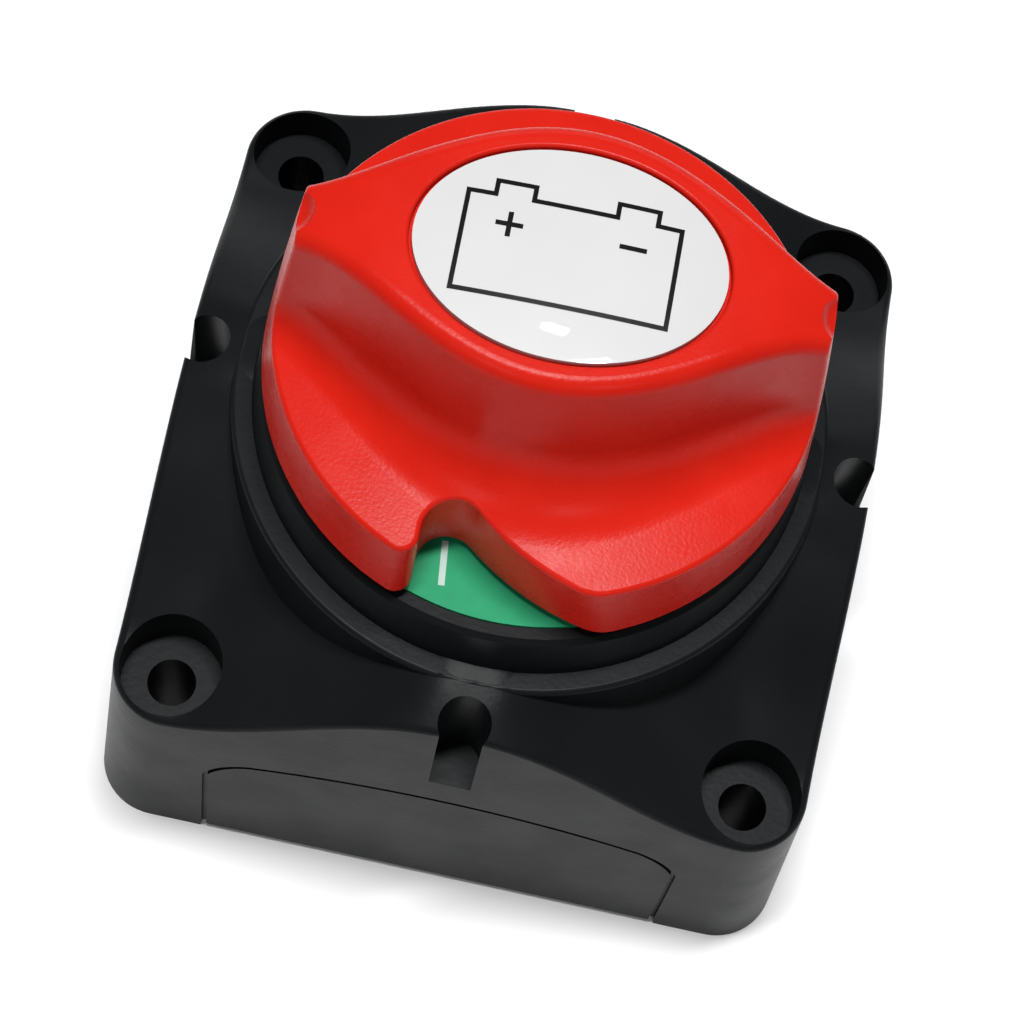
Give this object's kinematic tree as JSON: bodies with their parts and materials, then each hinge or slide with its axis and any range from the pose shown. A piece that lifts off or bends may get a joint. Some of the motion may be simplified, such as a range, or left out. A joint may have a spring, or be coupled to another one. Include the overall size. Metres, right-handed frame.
{
  "type": "battery switch",
  "caption": "Square surface-mount rotary battery switch with a red grip knob on a black arched housing, indicator window, corner screw holes and rear terminal studs.",
  "frame": {"origin": "centre of the square mounting (back) face", "axes": "+Z along the knob axis towards the knob, X along the grip bar in the on position, -Y towards the side with the indicator window"},
  "size_m": [0.069, 0.069, 0.0732],
  "materials": {
    "housing_plastic": "black glass-filled moulded plastic, fine satin texture",
    "base_plastic": "dark grey moulded thermoset",
    "black_rubber": "black sealing rubber",
    "zinc_steel": "zinc plated steel",
    "stainless_steel": "stainless steel",
    "tinned_copper": "tin plated copper",
    "silver_alloy": "silver contact alloy",
    "bare_copper": "bare copper",
    "spring_steel": "spring steel",
    "rotor_plastic": "natural grey moulded plastic",
    "indicator_green": "printed green label",
    "indicator_red": "printed red label",
    "knob_plastic": "red moulded plastic, satin spark-eroded texture",
    "label_white": "white label under a clear domed resin"
  },
  "bodies": {
    "housing_body": {"housing": "housing_plastic", "terminal_base": "base_plastic", "base_gasket": "black_rubber", "base_screws": "zinc_steel", "terminal_stud_left": "tinned_copper", "terminal_stud_right": "tinned_copper", "fixed_contact_tips": "silver_alloy", "stud_flat_washers": "stainless_steel", "stud_lock_washers": "stainless_steel", "stud_nuts": "stainless_steel", "indicator_on": "indicator_green", "indicator_off": "indicator_red"},
    "knob_body": {"spindle": "rotor_plastic", "spindle_seal": "black_rubber", "thrust_washer": "rotor_plastic", "contact_carrier": "rotor_plastic", "moving_contact": "bare_copper", "moving_contact_tips": "silver_alloy", "contact_spring": "spring_steel", "knob": "knob_plastic", "knob_label": "label_white", "knob_screw": "zinc_steel", "knob_washer": "zinc_steel"}
  },
  "joints": [
    {"name": "knob_turn", "type": "hinge", "parent": "housing_body", "child": "knob_body", "pos_m": [0, 0, 0.0484], "axis": [0, 0, 1], "range_deg": [0, 90]}
  ]
}
